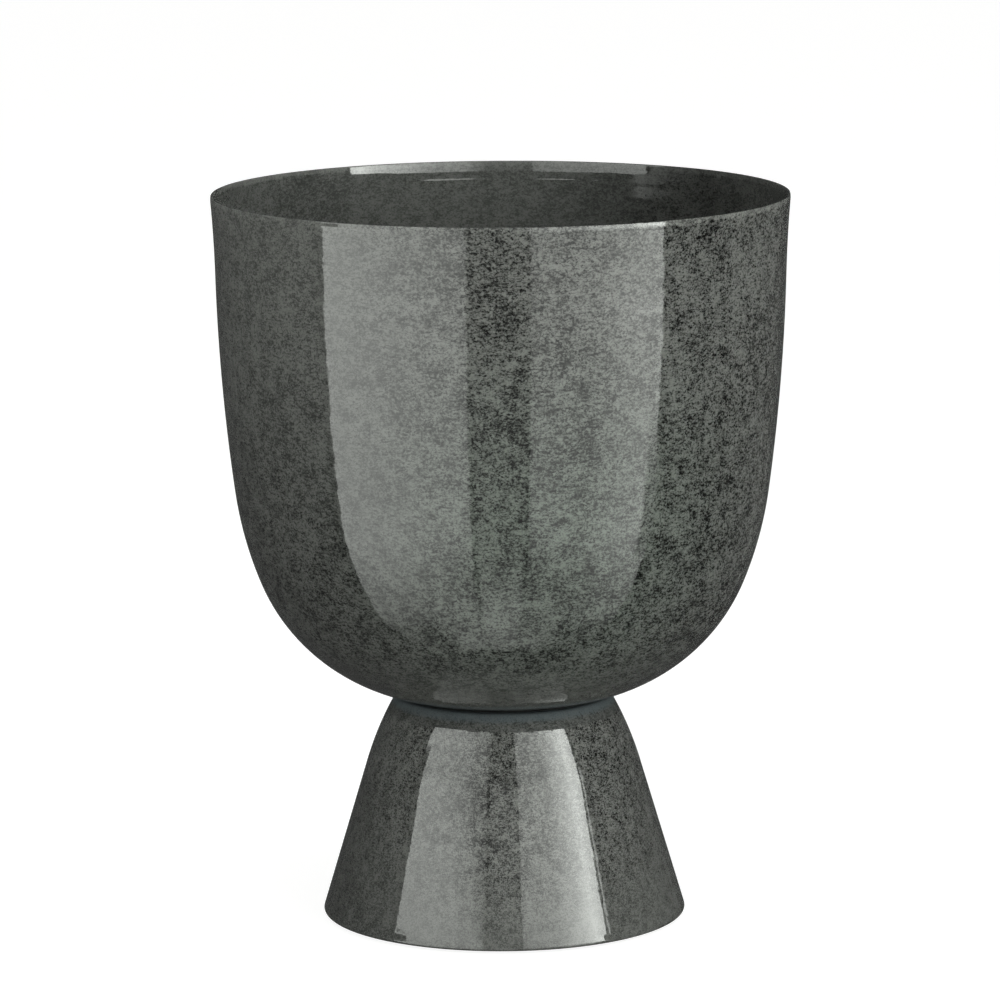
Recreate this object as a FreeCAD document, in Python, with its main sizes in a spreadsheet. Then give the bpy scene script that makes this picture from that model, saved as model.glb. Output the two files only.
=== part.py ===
import FreeCAD, Part
import Sketcher
import math
import os

# Indoor flower pot: an enamelled sheet-steel bowl drawn down on a hollow conical foot
# by a weld stud and a nut on the centre line. Millimetres, +Z up, the floor at z = 0.
sizes = {
    # bowl, outer surface, heights from its flat base
    "rim_radius": 142.5,
    "bowl_depth": 249.4,
    "bowl_wall": 1.2,
    "lip_height": 39.0,
    "lip_flare_radius": 606.0,
    "side_radius": 966.0,
    "side_start": 103.1,
    "dome_radius": 184.7,
    "dome_start": 58.0,
    "base_curve_radius": 95.0,
    "heel_radius": 30.0,
    "heel_rise": 0.54,
    # foot, outer surface, heights from its turned-in edge
    "foot_height": 109.8,
    "foot_base_radius": 90.3,
    "foot_wall": 1.2,
    "crown_radius": 52.0,
    "crown_land": 14.0,
    "hem_radius": 2.0,
    "flange_width": 16.0,
    "shoulder_start": 75.6,
    "shoulder_radius": 164.0,
    "crown_corner_radius": 2.4,
    # gasket between the two enamelled shells
    "gasket_inset": 3.0,
    "gasket_thickness": 0.6,
    # stud plate and stud, welded under the bowl
    "stud_plate_clearance": 6.0,
    "stud_plate_thickness": 2.5,
    "stud_radius": 4.0,
    "stud_collar_radius": 5.5,
    "stud_collar_height": 1.2,
    "stud_end_chamfer": 0.8,
    "stud_projection": 4.0,
    # clamp plate, washers and nut inside the foot
    "clamp_inset": 5.0,
    "clamp_plate_thickness": 2.0,
    "clamp_dish_depth": 4.0,
    "clamp_dish_slope": 45.0,
    "clamp_bend_radius": 1.0,
    "clamp_hole_clearance": 0.5,
    "washer_radius": 12.0,
    "washer_thickness": 2.0,
    "washer_clearance": 0.2,
    "spring_washer_width": 3.2,
    "spring_washer_thickness": 2.0,
    "spring_washer_slit": 1.6,
    "spring_washer_slit_angle": 20.0,
    "nut_across_flats": 13.0,
    "nut_height": 6.5,
    "nut_chamfer_angle": 30.0,
    "nut_thread_clearance": 0.1,
    # pads under the turned-in edge of the foot
    "pad_radius": 4.5,
    "pad_inset": 0.6,
    "pad_thickness": 1.6,
    "pad_edge_radius": 0.4,
    "pad_count": 4,
}

doc = FreeCAD.newDocument("flower_pot")
sheet = doc.addObject("Spreadsheet::Sheet", "Sizes")
for row, (alias, number) in enumerate(sizes.items(), start=1):
    sheet.set(f"A{row}", alias)
    sheet.set(f"B{row}", str(number))
    sheet.setAlias(f"B{row}", alias)
doc.recompute()

# Heights and radii that the pieces share, each as an expression on the sheet
flange_level = "Sizes.pad_thickness"
crown_level = f"({flange_level} + Sizes.foot_height)"
crown_underside = f"({crown_level} - Sizes.foot_wall)"
bowl_level = f"({crown_level} + Sizes.gasket_thickness)"
stud_level = f"({bowl_level} - Sizes.stud_plate_thickness)"
clamp_level = f"({crown_underside} - Sizes.clamp_dish_depth - Sizes.clamp_plate_thickness)"
washer_level = f"({clamp_level} - Sizes.washer_thickness)"
spring_level = f"({washer_level} - Sizes.spring_washer_thickness)"
nut_level = f"({spring_level} - Sizes.nut_height)"
stud_end_level = f"({nut_level} - Sizes.stud_projection)"
crown_opening = "(Sizes.crown_radius - Sizes.crown_land)"

quarter = math.pi / 2
fine_angle = 1e-12
upright = FreeCAD.Vector(0, 0, 1)
horizontal_axis_index = -1  # as a sketch numbers its own axes
vertical_axis_index = -2


def value(expression):
    return float(sheet.evalExpression(expression))


def new_body(label):
    body = doc.addObject("PartDesign::Body", label)
    body.Label = label
    body.AllowCompound = True
    return body


def new_sketch(body, name, plane):
    sketch = body.newObject("Sketcher::SketchObject", name)
    support = [item for item in body.Origin.OriginFeatures if item.Role == plane][0]
    sketch.AttachmentSupport = (support, [""])
    sketch.MapMode = "FlatFace"
    return sketch


def line(sketch, start, end):
    segment = Part.LineSegment(FreeCAD.Vector(*start, 0), FreeCAD.Vector(*end, 0))
    return sketch.addGeometry(segment, False)


def arc(sketch, middle, radius, start_angle, end_angle):
    circle = Part.Circle(FreeCAD.Vector(*middle, 0), upright, radius)
    return sketch.addGeometry(Part.ArcOfCircle(circle, start_angle, end_angle), False)


def circle_about(sketch, middle, radius, construction=False):
    circle = Part.Circle(FreeCAD.Vector(*middle, 0), upright, radius)
    return sketch.addGeometry(circle, construction)


def polar(middle, radius, angle):
    return (middle[0] + radius * math.cos(angle), middle[1] + radius * math.sin(angle))


def start_of(curve):
    return (curve, 1)


def end_of(curve):
    return (curve, 2)


def centre_of(curve):
    return (curve, 3)


origin_point = start_of(horizontal_axis_index)


def hold(sketch, kind, *items):
    """Constraint between curves, given by number, and points, given by the functions above."""
    flat = []
    for item in items:
        flat.extend(item if isinstance(item, tuple) else [item])
    return sketch.addConstraint(Sketcher.Constraint(kind, *flat))


def dimension(sketch, name, expression, kind, *items):
    """Constraint whose size follows an expression on the sheet."""
    size = value(expression)
    index = hold(sketch, kind, *items, math.radians(size) if kind == "Angle" else size)
    sketch.renameConstraint(index, name)
    sketch.setExpression(f"Constraints.{name}", expression)


def chain_up(sketch, curves):
    """Curves that run on into one another without a corner."""
    for lower, upper in zip(curves, curves[1:]):
        hold(sketch, "Tangent", end_of(lower), start_of(upper))


def close_loop(sketch, sides):
    for i, side in enumerate(sides):
        hold(sketch, "Coincident", end_of(side), start_of(sides[(i + 1) % len(sides)]))


def revolve(body, sketch, name):
    feature = body.newObject("PartDesign::Revolution", name)
    feature.Profile = sketch
    feature.ReferenceAxis = (sketch, ["V_Axis"])
    feature.Angle = 360
    return feature


def pad(body, sketch, name, length):
    feature = body.newObject("PartDesign::Pad", name)
    feature.Profile = sketch
    feature.setExpression("Length", length)
    return feature


def round_edges(body, base, name, radius, belongs):
    """Fillet on the circular edges of a feature for which belongs(edge) is true."""
    doc.recompute()
    edges = []
    for number, edge in enumerate(base.Shape.Edges, start=1):
        if isinstance(edge.Curve, Part.Circle) and belongs(edge):
            edges.append(f"Edge{number}")
    rounding = body.newObject("PartDesign::Fillet", name)
    rounding.Base = (base, edges)
    rounding.setExpression("Radius", radius)
    return rounding


def flat_ring(body, name, outer, inner, level, thickness):
    """Flat ring about the centre line, from a height upwards."""
    sketch = new_sketch(body, f"{name}_outline", "XY_Plane")
    sketch.setExpression("AttachmentOffset.Base.z", level)
    for edge, expression in (("outer", outer), ("inner", inner)):
        circle = circle_about(sketch, (0, 0), value(expression))
        hold(sketch, "Coincident", centre_of(circle), origin_point)
        dimension(sketch, f"{edge}_radius", expression, "Radius", circle)
    return pad(body, sketch, f"{name}_ring", thickness)


def lathe_sketch(body, name, corners):
    """Closed outline of straight lines, whose corners are (radius, height) expressions."""
    sketch = new_sketch(body, name, "XZ_Plane")
    points = [(value(radius), value(height)) for radius, height in corners]
    sides = [line(sketch, points[i - 1], points[i]) for i in range(len(points))]
    close_loop(sketch, sides)
    for i, (radius, height) in enumerate(corners):
        dimension(sketch, f"height_{i}", height, "DistanceY", origin_point, end_of(sides[i]))
        if radius == "0":
            hold(sketch, "PointOnObject", end_of(sides[i]), vertical_axis_index)
        else:
            dimension(sketch, f"radius_{i}", radius, "DistanceX", origin_point, end_of(sides[i]))
    return sketch


def make_bowl():
    """Spun bowl of even wall: flat base, heel, two belly curves, tall side, flared round lip."""
    body = new_body("bowl")
    sketch = new_sketch(body, "bowl_section", "XZ_Plane")
    level = value(bowl_level)
    wall = sizes["bowl_wall"]
    flare = sizes["lip_flare_radius"]
    curve_names = ("heel_radius", "base_curve_radius", "dome_radius", "side_radius")
    radii = [sizes[name] for name in curve_names]
    rise_names = ("heel_rise", "dome_start", "side_start")
    rises = [sizes[name] for name in rise_names] + [sizes["bowl_depth"] - sizes["lip_height"]]

    # Slope of the wall from level, at the start and end of each curve
    slopes = [0.0]
    for radius, low, high in zip(radii, [0.0] + rises, rises):
        slopes.append(math.acos(math.cos(slopes[-1]) - (high - low) / radius))
    rim_slope = math.acos(math.cos(slopes[-1]) + sizes["lip_height"] / flare)
    reaches = [radius * (math.sin(b) - math.sin(a)) for radius, a, b in zip(radii, slopes, slopes[1:])]
    lip_reach = flare * (math.sin(slopes[-1]) - math.sin(rim_slope))
    flat_radius = sizes["rim_radius"] - sum(reaches) - lip_reach

    outer = [line(sketch, (0, level), (flat_radius, level))]
    inner = [line(sketch, (0, level + wall), (flat_radius, level + wall))]
    foot_of_curve = (flat_radius, level)
    for radius, a, b in zip(radii, slopes, slopes[1:]):
        middle = polar(foot_of_curve, radius, a + quarter)
        outer.append(arc(sketch, middle, radius, a - quarter, b - quarter))
        inner.append(arc(sketch, middle, radius - wall, a - quarter, b - quarter))
        foot_of_curve = polar(middle, radius, b - quarter)
    middle = polar(foot_of_curve, flare, slopes[-1] - quarter)
    outer_lip = arc(sketch, middle, flare, rim_slope + quarter, slopes[-1] + quarter)
    inner_lip = arc(sketch, middle, flare + wall, rim_slope + quarter, slopes[-1] + quarter)
    rim_middle = polar(middle, flare + wall / 2, rim_slope + quarter)
    rim = arc(sketch, rim_middle, wall / 2, rim_slope - quarter, rim_slope + quarter)
    centre_line = line(sketch, (0, level), (0, level + wall))

    for curves, lip in ((outer, outer_lip), (inner, inner_lip)):
        chain_up(sketch, curves)
        hold(sketch, "Tangent", end_of(curves[-1]), end_of(lip))
        hold(sketch, "Horizontal", curves[0])
        hold(sketch, "PointOnObject", start_of(curves[0]), vertical_axis_index)
    hold(sketch, "Tangent", start_of(outer_lip), start_of(rim))
    hold(sketch, "Tangent", end_of(rim), start_of(inner_lip))
    for outside, inside in zip(outer[1:] + [outer_lip], inner[1:] + [inner_lip]):
        hold(sketch, "Coincident", centre_of(outside), centre_of(inside))
    hold(sketch, "Coincident", start_of(centre_line), start_of(outer[0]))
    hold(sketch, "Coincident", end_of(centre_line), start_of(inner[0]))

    base = start_of(outer[0])
    rim_point = start_of(outer_lip)
    dimension(sketch, "level", bowl_level, "DistanceY", origin_point, base)
    dimension(sketch, "wall", "Sizes.bowl_wall", "DistanceY", base, start_of(inner[0]))
    for name, curve in zip(curve_names, outer[1:]):
        dimension(sketch, name, f"Sizes.{name}", "Radius", curve)
    for name, curve in zip(rise_names, outer[1:]):
        dimension(sketch, name, f"Sizes.{name}", "DistanceY", base, end_of(curve))
    dimension(sketch, "lip_flare_radius", "Sizes.lip_flare_radius", "Radius", outer_lip)
    dimension(sketch, "bowl_depth", "Sizes.bowl_depth", "DistanceY", base, rim_point)
    dimension(sketch, "lip_height", "Sizes.lip_height", "DistanceY", end_of(outer_lip), rim_point)
    dimension(sketch, "rim_radius", "Sizes.rim_radius", "DistanceX", origin_point, rim_point)
    revolve(body, sketch, "bowl_shell")
    return body


def make_foot():
    """Spun cone of even wall: turned-in edge, straight flank, rounded shoulder, open flat crown."""
    body = new_body("foot")
    sketch = new_sketch(body, "foot_section", "XZ_Plane")
    wall = sizes["foot_wall"]
    hem = sizes["hem_radius"]
    shoulder = sizes["shoulder_radius"]
    corner = sizes["crown_corner_radius"]
    opening = value(crown_opening)
    flange_edge = sizes["foot_base_radius"] - sizes["flange_width"]
    low = value(flange_level)
    top = value(crown_level)
    hem_middle = (sizes["foot_base_radius"] - hem, low + hem)

    def upper_curves(lean):
        """Centres of the shoulder and the corner, and the turn between them, for a flank at this lean."""
        flank_low = polar(hem_middle, hem, lean)
        climb = low + sizes["shoulder_start"] - flank_low[1]
        flank_high = (flank_low[0] - climb * math.tan(lean), flank_low[1] + climb)
        shoulder_middle = polar(flank_high, shoulder, lean + math.pi)
        turn = math.asin((top - corner - shoulder_middle[1]) / (shoulder - corner))
        return shoulder_middle, polar(shoulder_middle, shoulder - corner, turn), turn

    # The flank leans as far as the crown's radius asks: halve the range until it is found
    least, most = -quarter / 2, quarter / 2
    while most - least > fine_angle:
        lean = (least + most) / 2
        shoulder_middle, corner_middle, turn = upper_curves(lean)
        if corner_middle[0] > sizes["crown_radius"]:
            least = lean
        else:
            most = lean

    def skin(depth):
        """One face of the sheet, from the flange's edge to the crown's, at a depth below the outside."""
        flank_start = polar(hem_middle, hem - depth, lean)
        flank_end = polar(shoulder_middle, shoulder - depth, lean)
        flange = line(sketch, (flange_edge, low + depth), (hem_middle[0], low + depth))
        hem_arc = arc(sketch, hem_middle, hem - depth, -quarter, lean)
        flank = line(sketch, flank_start, flank_end)
        shoulder_arc = arc(sketch, shoulder_middle, shoulder - depth, lean, turn)
        corner_arc = arc(sketch, corner_middle, corner - depth, turn, quarter)
        crown = line(sketch, (corner_middle[0], top - depth), (opening, top - depth))
        curves = [flange, hem_arc, flank, shoulder_arc, corner_arc, crown]
        chain_up(sketch, curves)
        hold(sketch, "Horizontal", flange)
        hold(sketch, "Horizontal", crown)
        return curves

    outer = skin(0.0)
    inner = skin(wall)
    flange, hem_arc, flank, shoulder_arc, corner_arc, crown = outer
    crown_edge = line(sketch, (opening, top), (opening, top - wall))
    flange_end = line(sketch, (flange_edge, low + wall), (flange_edge, low))
    hold(sketch, "Coincident", end_of(crown), start_of(crown_edge))
    hold(sketch, "Coincident", end_of(crown_edge), end_of(inner[-1]))
    hold(sketch, "Coincident", start_of(inner[0]), start_of(flange_end))
    hold(sketch, "Coincident", end_of(flange_end), start_of(flange))
    hold(sketch, "Vertical", crown_edge)
    hold(sketch, "Vertical", flange_end)
    for outside, inside in zip(outer, inner):
        if outside in (hem_arc, shoulder_arc, corner_arc):
            hold(sketch, "Coincident", centre_of(outside), centre_of(inside))
        elif outside == flank:
            hold(sketch, "Parallel", outside, inside)

    dimension(sketch, "wall", "Sizes.foot_wall", "DistanceY", end_of(crown_edge), start_of(crown_edge))
    dimension(sketch, "flange_level", flange_level, "DistanceY", origin_point, start_of(flange))
    dimension(sketch, "crown_level", crown_level, "DistanceY", origin_point, end_of(crown))
    expression = f"{flange_level} + Sizes.shoulder_start"
    dimension(sketch, "shoulder_start", expression, "DistanceY", origin_point, end_of(flank))
    expression = "Sizes.foot_base_radius - Sizes.flange_width"
    dimension(sketch, "flange_edge", expression, "DistanceX", origin_point, start_of(flange))
    expression = "Sizes.foot_base_radius - Sizes.hem_radius"
    dimension(sketch, "hem_middle", expression, "DistanceX", origin_point, centre_of(hem_arc))
    dimension(sketch, "crown_opening", crown_opening, "DistanceX", origin_point, end_of(crown))
    dimension(sketch, "crown_radius", "Sizes.crown_radius", "DistanceX", origin_point, start_of(crown))
    dimension(sketch, "hem_radius", "Sizes.hem_radius", "Radius", hem_arc)
    dimension(sketch, "shoulder_radius", "Sizes.shoulder_radius", "Radius", shoulder_arc)
    dimension(sketch, "crown_corner_radius", "Sizes.crown_corner_radius", "Radius", corner_arc)
    revolve(body, sketch, "foot_shell")
    return body


def make_neck_gasket():
    """Flat rubber ring on the crown, which keeps the two enamels apart."""
    body = new_body("neck_gasket")
    outer = "Sizes.crown_radius - Sizes.gasket_inset"
    flat_ring(body, "gasket", outer, crown_opening, crown_level, "Sizes.gasket_thickness")
    return body


def make_stud_plate():
    """Doubler disc welded under the bowl's flat base, inside the crown's opening."""
    body = new_body("stud_plate")
    reach = f"{crown_opening} - Sizes.stud_plate_clearance"
    corners = [("0", stud_level), (reach, stud_level), (reach, bowl_level), ("0", bowl_level)]
    revolve(body, lathe_sketch(body, "stud_plate_section", corners), "stud_plate_disc")
    return body


def make_clamp_stud():
    """Weld stud with a collar at its root and a chamfered end."""
    body = new_body("clamp_stud")
    shank = "Sizes.stud_radius"
    collar = "Sizes.stud_collar_radius"
    collar_level = f"{stud_level} - Sizes.stud_collar_height"
    tip = "Sizes.stud_radius - Sizes.stud_end_chamfer"
    shoulder_level = f"{stud_end_level} + Sizes.stud_end_chamfer"
    corners = [
        ("0", stud_end_level), (tip, stud_end_level), (shank, shoulder_level),
        (shank, collar_level), (collar, collar_level), (collar, stud_level), ("0", stud_level),
    ]
    revolve(body, lathe_sketch(body, "stud_section", corners), "stud_shank")
    return body


def make_clamp_plate():
    """Dished steel plate: its rim bears under the crown and its middle takes the nut's pull."""
    body = new_body("clamp_plate")
    hole = "Sizes.stud_radius + Sizes.clamp_hole_clearance"
    rim = "Sizes.crown_radius - Sizes.clamp_inset"
    bend = crown_opening
    foot_of_slope = f"{bend} - Sizes.clamp_dish_depth / tan(Sizes.clamp_dish_slope * 1 deg)"
    plate = "Sizes.clamp_plate_thickness"
    corners = [
        (hole, clamp_level), (foot_of_slope, clamp_level), (bend, f"{crown_underside} - {plate}"),
        (rim, f"{crown_underside} - {plate}"), (rim, crown_underside), (bend, crown_underside),
        (foot_of_slope, f"{clamp_level} + {plate}"), (hole, f"{clamp_level} + {plate}"),
    ]
    dish = revolve(body, lathe_sketch(body, "clamp_plate_section", corners), "clamp_plate_dish")
    bends = (value(bend), value(foot_of_slope))

    def is_bend(edge):
        return any(math.isclose(edge.Curve.Radius, radius) for radius in bends)

    round_edges(body, dish, "clamp_plate_bends", "Sizes.clamp_bend_radius", is_bend)
    return body


def make_clamp_washer():
    """Broad flat washer under the clamp plate."""
    body = new_body("clamp_washer")
    bore = "Sizes.stud_radius + Sizes.washer_clearance"
    flat_ring(body, "washer", "Sizes.washer_radius", bore, washer_level, "Sizes.washer_thickness")
    return body


def make_spring_washer():
    """Split washer that keeps the nut tight; the slit runs aslant through the ring."""
    body = new_body("spring_washer")
    bore = "Sizes.stud_radius + Sizes.washer_clearance"
    reach = f"{bore} + Sizes.spring_washer_width"
    thickness = "Sizes.spring_washer_thickness"
    flat_ring(body, "spring_washer", reach, bore, spring_level, thickness)

    gap = "Sizes.spring_washer_slit"
    slit = new_sketch(body, "spring_washer_slit", "XZ_Plane")
    half = value(gap) / 2
    low = value(spring_level)
    high = low + value(thickness)
    lean = math.tan(math.radians(sizes["spring_washer_slit_angle"])) * value(thickness)
    points = [(-half, low), (half, low), (half + lean, high), (-half + lean, high)]
    sides = [line(slit, points[i - 1], points[i]) for i in range(len(points))]
    close_loop(slit, sides)
    left, bottom, right, upper = sides
    hold(slit, "Horizontal", bottom)
    hold(slit, "Horizontal", upper)
    hold(slit, "Parallel", left, right)
    dimension(slit, "low", spring_level, "DistanceY", origin_point, start_of(bottom))
    dimension(slit, "gap", gap, "DistanceX", start_of(bottom), end_of(bottom))
    dimension(slit, "middle", f"{gap} / 2", "DistanceX", origin_point, end_of(bottom))
    dimension(slit, "height", thickness, "DistanceY", start_of(right), end_of(right))
    dimension(slit, "slant", "90 deg - Sizes.spring_washer_slit_angle * 1 deg", "Angle", right)
    cut = body.newObject("PartDesign::Pocket", "spring_washer_split")
    cut.Profile = slit
    cut.setExpression("Length", f"{reach} + {gap}")
    return body


def make_clamp_nut():
    """Hexagon nut, chamfered on both faces, with a plain bore."""
    body = new_body("clamp_nut")
    sketch = new_sketch(body, "nut_outline", "XY_Plane")
    sketch.setExpression("AttachmentOffset.Base.z", nut_level)
    flat_count = 6
    corner_reach = "Sizes.nut_across_flats / sqrt(3)"
    bore_radius = "Sizes.stud_radius + Sizes.nut_thread_clearance"
    corners = [polar((0, 0), value(corner_reach), 2 * math.pi * i / flat_count) for i in range(flat_count)]
    sides = [line(sketch, corners[i - 1], corners[i]) for i in range(flat_count)]
    round_corners = circle_about(sketch, (0, 0), value(corner_reach), construction=True)
    bore = circle_about(sketch, (0, 0), value(bore_radius))
    close_loop(sketch, sides)
    dimension(sketch, "corner_reach", corner_reach, "Radius", round_corners)
    dimension(sketch, "bore", bore_radius, "Radius", bore)
    for circle in (round_corners, bore):
        hold(sketch, "Coincident", centre_of(circle), origin_point)
    for side in sides:
        hold(sketch, "PointOnObject", end_of(side), round_corners)
    for side in sides[1:]:
        hold(sketch, "Equal", sides[0], side)
    hold(sketch, "Horizontal", sides[2])
    pad(body, sketch, "nut_hexagon", "Sizes.nut_height")

    # Each chamfer cone starts at the flats on the nut's face and runs out past the corners
    start = "Sizes.nut_across_flats / 2"
    reach = "Sizes.nut_across_flats"
    drop = f"({reach} - {start}) * tan(Sizes.nut_chamfer_angle * 1 deg)"
    for face, level, sign in (("low", nut_level, "+"), ("high", spring_level, "-")):
        corners = [(start, level), (reach, level), (reach, f"{level} {sign} {drop}")]
        cut = body.newObject("PartDesign::Groove", f"nut_chamfer_{face}")
        cut.Profile = lathe_sketch(body, f"nut_chamfer_{face}_section", corners)
        cut.ReferenceAxis = (cut.Profile[0], ["V_Axis"])
        cut.Angle = 360
    return body


def make_floor_pads():
    """Round soft pads, evenly spaced under the turned-in edge of the foot."""
    body = new_body("floor_pads")
    sketch = new_sketch(body, "pad_outline", "XY_Plane")
    # the first pad stands half a step round, so that no pad faces straight forward
    half_step = FreeCAD.Rotation(upright, 180 / sizes["pad_count"])
    sketch.AttachmentOffset = FreeCAD.Placement(FreeCAD.Vector(), half_step)
    sketch.setExpression(".AttachmentOffset.Rotation.Angle", "180 deg / Sizes.pad_count")
    pitch = "Sizes.foot_base_radius - Sizes.flange_width + Sizes.pad_inset + Sizes.pad_radius"
    outline = circle_about(sketch, (value(pitch), 0), sizes["pad_radius"])
    hold(sketch, "PointOnObject", centre_of(outline), horizontal_axis_index)
    dimension(sketch, "pitch", pitch, "DistanceX", origin_point, centre_of(outline))
    dimension(sketch, "pad_radius", "Sizes.pad_radius", "Radius", outline)
    disc = pad(body, sketch, "pad_disc", "Sizes.pad_thickness")

    def is_low(edge):
        return edge.BoundBox.ZMax < sizes["pad_thickness"] / 2

    rounding = round_edges(body, disc, "pad_edge", "Sizes.pad_edge_radius", is_low)
    ring = body.newObject("PartDesign::PolarPattern", "pad_ring")
    ring.Originals = [disc, rounding]
    ring.Axis = (sketch, ["N_Axis"])
    ring.Angle = 360
    ring.setExpression("Occurrences", "Sizes.pad_count")
    body.Tip = ring
    return body


sub_parts = [
    make_bowl(),
    make_foot(),
    make_neck_gasket(),
    make_stud_plate(),
    make_clamp_stud(),
    make_clamp_plate(),
    make_clamp_washer(),
    make_spring_washer(),
    make_clamp_nut(),
    make_floor_pads(),
]
doc.recompute()

for item in doc.Objects:
    if "Invalid" in item.State or "Error" in item.State:
        raise RuntimeError(f"{item.Label} failed: {item.State}")
for body in sub_parts:
    if body.Shape.isNull() or not body.Shape.isValid():
        raise RuntimeError(f"{body.Label} has no valid shape")

os.makedirs("parts", exist_ok=True)
for body in sub_parts:
    body.Shape.exportStep(f"parts/{body.Label}.step")
    box = body.Shape.optimalBoundingBox()
    print(f"{body.Label}: {len(body.Shape.Solids)} solids, {body.Shape.Volume:.1f} mm3,",
          f"z {box.ZMin:.2f} to {box.ZMax:.2f}, {box.XLength:.2f} across")
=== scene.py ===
import math
import bmesh
import bpy
from mathutils import Matrix, Vector, noise


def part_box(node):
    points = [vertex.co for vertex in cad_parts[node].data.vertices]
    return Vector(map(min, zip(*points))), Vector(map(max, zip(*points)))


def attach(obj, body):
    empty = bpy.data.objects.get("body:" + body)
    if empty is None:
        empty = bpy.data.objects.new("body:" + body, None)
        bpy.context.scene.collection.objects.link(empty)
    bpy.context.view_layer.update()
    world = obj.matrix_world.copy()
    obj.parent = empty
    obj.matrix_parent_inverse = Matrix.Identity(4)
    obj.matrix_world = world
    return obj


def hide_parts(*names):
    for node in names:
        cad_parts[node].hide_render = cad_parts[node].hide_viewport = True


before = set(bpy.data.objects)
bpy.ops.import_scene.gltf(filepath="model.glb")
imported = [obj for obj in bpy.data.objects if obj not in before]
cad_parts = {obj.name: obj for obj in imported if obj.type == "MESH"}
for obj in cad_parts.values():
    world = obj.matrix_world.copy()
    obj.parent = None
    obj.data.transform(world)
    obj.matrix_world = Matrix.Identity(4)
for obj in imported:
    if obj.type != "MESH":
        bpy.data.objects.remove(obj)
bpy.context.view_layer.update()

mm = 0.001
weldGap = 1e-6  # vertices nearer than this, in metres, are merged
scene = bpy.context.scene


# Small helpers

def linear(hexColour):  # sRGB hex to the linear values that sockets take
    channels = [int(hexColour[i:i + 2], 16) / 255 for i in (1, 3, 5)]
    bent = [c / 12.92 if c <= 0.04045 else ((c + 0.055) / 1.055) ** 2.4 for c in channels]
    return (*bent, 1.0)


def addNode(tree, kind, settings=None, inputs=None, stops=()):  # an input is a socket or a plain value
    node = tree.nodes.new("ShaderNode" + kind)
    for name, setting in (settings or {}).items():
        setattr(node, name, setting)
    for socket, given in (inputs or {}).items():
        if isinstance(given, bpy.types.NodeSocket):
            tree.links.new(given, node.inputs[socket])
        else:
            node.inputs[socket].default_value = given
    for _ in stops[2:]:
        node.color_ramp.elements.new(0.5)
    for i, (spot, level) in enumerate(stops):
        node.color_ramp.elements[i].position = spot
        node.color_ramp.elements[i].color = (level, level, level, 1)
    return node.outputs


def newMaterial(name):
    material = bpy.data.materials.new(name)
    material.use_nodes = True
    material.node_tree.nodes.clear()
    return material, material.node_tree


def arcRun(centre, radius, startAngle, endAngle, steps):  # points after the first, in (radius, height)
    turns = [startAngle + (endAngle - startAngle) * (i + 1) / steps for i in range(steps)]
    return [(centre[0] + radius * math.cos(a), centre[1] + radius * math.sin(a)) for a in turns]


def straightRun(start, end, steps):
    return [tuple(s + (e - s) * (i + 1) / steps for s, e in zip(start, end)) for i in range(steps)]


def spinProfile(points, around, closed):
    bm = bmesh.new()
    verts = [bm.verts.new((radius, 0, height)) for radius, height in points]
    pairs = list(zip(verts, verts[1:])) + ([(verts[-1], verts[0])] if closed else [])
    edges = [bm.edges.new(pair) for pair in pairs]
    sectors = 8  # one eighth is spun, then copied round, which is much quicker
    share = 2 * math.pi / sectors
    bmesh.ops.spin(bm, geom=verts + edges, cent=(0, 0, 0), axis=(0, 0, 1), dvec=(0, 0, 0),
                   angle=share, steps=around // sectors)
    bmesh.ops.spin(bm, geom=bm.verts[:] + bm.edges[:] + bm.faces[:], cent=(0, 0, 0), axis=(0, 0, 1),
                   dvec=(0, 0, 0), angle=share * (sectors - 1), steps=sectors - 1, use_duplicate=True)
    bmesh.ops.remove_doubles(bm, verts=bm.verts, dist=weldGap)
    bmesh.ops.recalc_face_normals(bm, faces=bm.faces)
    return bm


def newPiece(bm, name, material, node):
    for face in bm.faces:
        face.smooth = True
    mesh = bpy.data.meshes.new(name)
    bm.to_mesh(mesh)
    bm.free()
    mesh.materials.append(material)
    piece = bpy.data.objects.new(name, mesh)
    scene.collection.objects.link(piece)
    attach(piece, "root")
    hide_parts(node)
    print(name, len(mesh.polygons), "faces")
    return piece


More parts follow.
